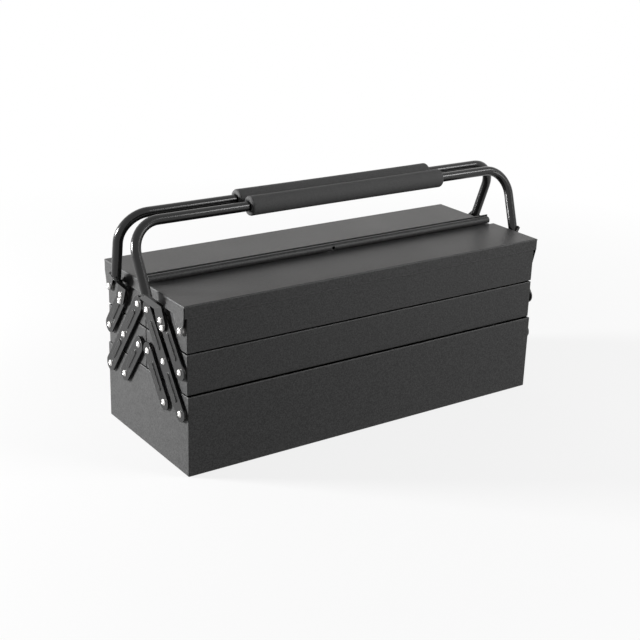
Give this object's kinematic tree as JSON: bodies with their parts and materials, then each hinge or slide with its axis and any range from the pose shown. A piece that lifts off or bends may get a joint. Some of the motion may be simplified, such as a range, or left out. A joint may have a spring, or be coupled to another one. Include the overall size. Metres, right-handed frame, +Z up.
{
  "type": "cantilever toolbox",
  "caption": "Sheet steel cantilever toolbox: a deep base, trays that swing out on parallel links to the front and rear, hinged lids and padded tube handles.",
  "frame": {"origin": "centre of the base's underside", "axes": "+X along the box to the right end, the front faces -Y, +Z up from the surface it stands on"},
  "size_m": [0.5746, 0.2036, 0.2974],
  "materials": {
    "powder_coat": "fine-textured satin black powder coat",
    "handle_paint": "gloss black paint",
    "grip": "matt closed-cell foam",
    "rivet": "bright plated steel"
  },
  "bodies": {
    "base": {"base_box": "powder_coat", "base_rivets": "rivet", "base_spacers": "rivet"},
    "front_long_links": {"front_left_long_link": "powder_coat", "front_right_long_link": "powder_coat"},
    "front_lower_links": {"front_left_lower_link": "powder_coat", "front_right_lower_link": "powder_coat"},
    "front_middle_tray": {"front_middle_tray": "powder_coat", "front_middle_rivets": "rivet", "front_middle_spacers": "rivet"},
    "front_top_tray": {"front_top_tray": "powder_coat", "front_top_rivets": "rivet", "front_top_spacers": "rivet"},
    "front_handle": {"front_handle": "handle_paint", "front_grip": "grip", "front_left_upper_link": "powder_coat", "front_right_upper_link": "powder_coat", "front_handle_rivets": "rivet"},
    "front_lid": {"front_lid": "powder_coat"},
    "rear_long_links": {"rear_left_long_link": "powder_coat", "rear_right_long_link": "powder_coat"},
    "rear_lower_links": {"rear_left_lower_link": "powder_coat", "rear_right_lower_link": "powder_coat"},
    "rear_middle_tray": {"rear_middle_tray": "powder_coat", "rear_middle_rivets": "rivet", "rear_middle_spacers": "rivet"},
    "rear_top_tray": {"rear_top_tray": "powder_coat", "rear_top_rivets": "rivet", "rear_top_spacers": "rivet"},
    "rear_handle": {"rear_handle": "handle_paint", "rear_grip": "grip", "rear_left_upper_link": "powder_coat", "rear_right_upper_link": "powder_coat", "rear_handle_rivets": "rivet"},
    "rear_lid": {"rear_lid": "powder_coat"}
  },
  "joints": [
    {"name": "front_spread", "type": "hinge", "parent": "base", "child": "front_long_links", "pos_m": [0, -0.089, 0.076], "axis": [1, 0, 0], "range_deg": [0, 74.3]},
    {"name": "front_lower_link_turn", "type": "hinge", "parent": "base", "child": "front_lower_links", "pos_m": [0, -0.05035, 0.076], "axis": [1, 0, 0], "range_deg": [0, 74.3]},
    {"name": "front_middle_tray_level", "type": "hinge", "parent": "front_long_links", "child": "front_middle_tray", "pos_m": [0, -0.05035, 0.127], "axis": [1, 0, 0], "range_deg": [-74.3, 0]},
    {"name": "front_top_tray_level", "type": "hinge", "parent": "front_long_links", "child": "front_top_tray", "pos_m": [0, -0.0117, 0.178], "axis": [1, 0, 0], "range_deg": [-74.3, 0]},
    {"name": "front_handle_turn", "type": "hinge", "parent": "front_middle_tray", "child": "front_handle", "pos_m": [0, -0.089, 0.127], "axis": [1, 0, 0], "range_deg": [0, 74.3]},
    {"name": "front_lid_open", "type": "hinge", "parent": "front_top_tray", "child": "front_lid", "pos_m": [0, -0.089, 0.177], "axis": [1, 0, 0], "range_deg": [0, 89]},
    {"name": "rear_spread", "type": "hinge", "parent": "base", "child": "rear_long_links", "pos_m": [0, 0.089, 0.076], "axis": [-1, 0, 0], "range_deg": [0, 74.3]},
    {"name": "rear_lower_link_turn", "type": "hinge", "parent": "base", "child": "rear_lower_links", "pos_m": [0, 0.05035, 0.076], "axis": [-1, 0, 0], "range_deg": [0, 74.3]},
    {"name": "rear_middle_tray_level", "type": "hinge", "parent": "rear_long_links", "child": "rear_middle_tray", "pos_m": [0, 0.05035, 0.127], "axis": [-1, 0, 0], "range_deg": [-74.3, 0]},
    {"name": "rear_top_tray_level", "type": "hinge", "parent": "rear_long_links", "child": "rear_top_tray", "pos_m": [0, 0.0117, 0.178], "axis": [-1, 0, 0], "range_deg": [-74.3, 0]},
    {"name": "rear_handle_turn", "type": "hinge", "parent": "rear_middle_tray", "child": "rear_handle", "pos_m": [0, 0.089, 0.127], "axis": [-1, 0, 0], "range_deg": [0, 74.3]},
    {"name": "rear_lid_open", "type": "hinge", "parent": "rear_top_tray", "child": "rear_lid", "pos_m": [0, 0.089, 0.177], "axis": [-1, 0, 0], "range_deg": [0, 89]}
  ],
  "couplings": [
    {"joint": "front_lower_link_turn", "follows": "front_spread", "ratio": 1},
    {"joint": "front_middle_tray_level", "follows": "front_spread", "ratio": -1},
    {"joint": "front_top_tray_level", "follows": "front_spread", "ratio": -1},
    {"joint": "front_handle_turn", "follows": "front_spread", "ratio": 1},
    {"joint": "rear_lower_link_turn", "follows": "rear_spread", "ratio": 1},
    {"joint": "rear_middle_tray_level", "follows": "rear_spread", "ratio": -1},
    {"joint": "rear_top_tray_level", "follows": "rear_spread", "ratio": -1},
    {"joint": "rear_handle_turn", "follows": "rear_spread", "ratio": 1}
  ]
}
